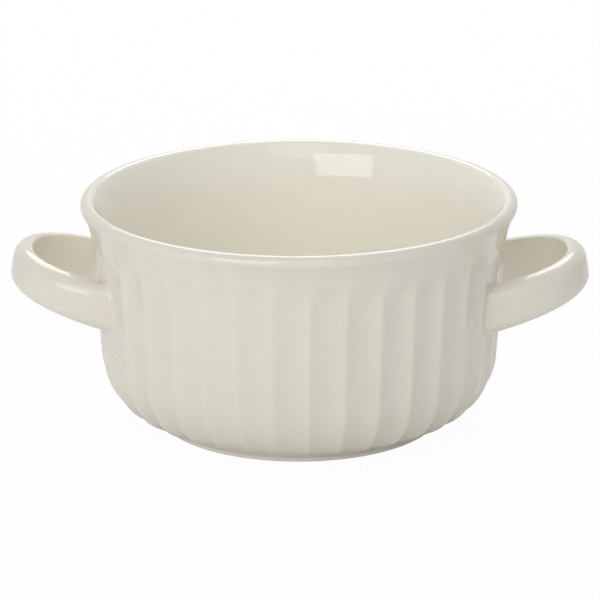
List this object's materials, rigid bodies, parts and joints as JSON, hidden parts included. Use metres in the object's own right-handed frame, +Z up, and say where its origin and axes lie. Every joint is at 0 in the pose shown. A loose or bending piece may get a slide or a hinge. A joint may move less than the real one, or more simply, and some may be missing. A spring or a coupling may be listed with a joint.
{
  "type": "french onion soup crock",
  "caption": "Fluted ovenproof soup crock with a flared rounded rim, a low foot ring and a looped strap handle on each side.",
  "frame": {"origin": "centre of the foot ring's resting face", "axes": "+Z up out of the bowl, X along the line through both handles, -Y towards the front"},
  "size_m": [0.1744, 0.1316, 0.07],
  "materials": {
    "clay": "fired stoneware under the glaze",
    "bare_clay": "matt bare stoneware",
    "slip": "fired joining clay under the glaze",
    "inside_glaze": "gloss ivory",
    "outside_glaze": "gloss ivory"
  },
  "bodies": {
    "root": {"bowl_body": "clay", "foot_ring": "bare_clay", "left_handle": "clay", "right_handle": "clay", "left_handle_slip": "slip", "right_handle_slip": "slip", "inside_glaze": "inside_glaze", "outside_glaze": "outside_glaze", "base_glaze": "outside_glaze", "left_handle_glaze": "outside_glaze", "right_handle_glaze": "outside_glaze"}
  },
  "joints": []
}
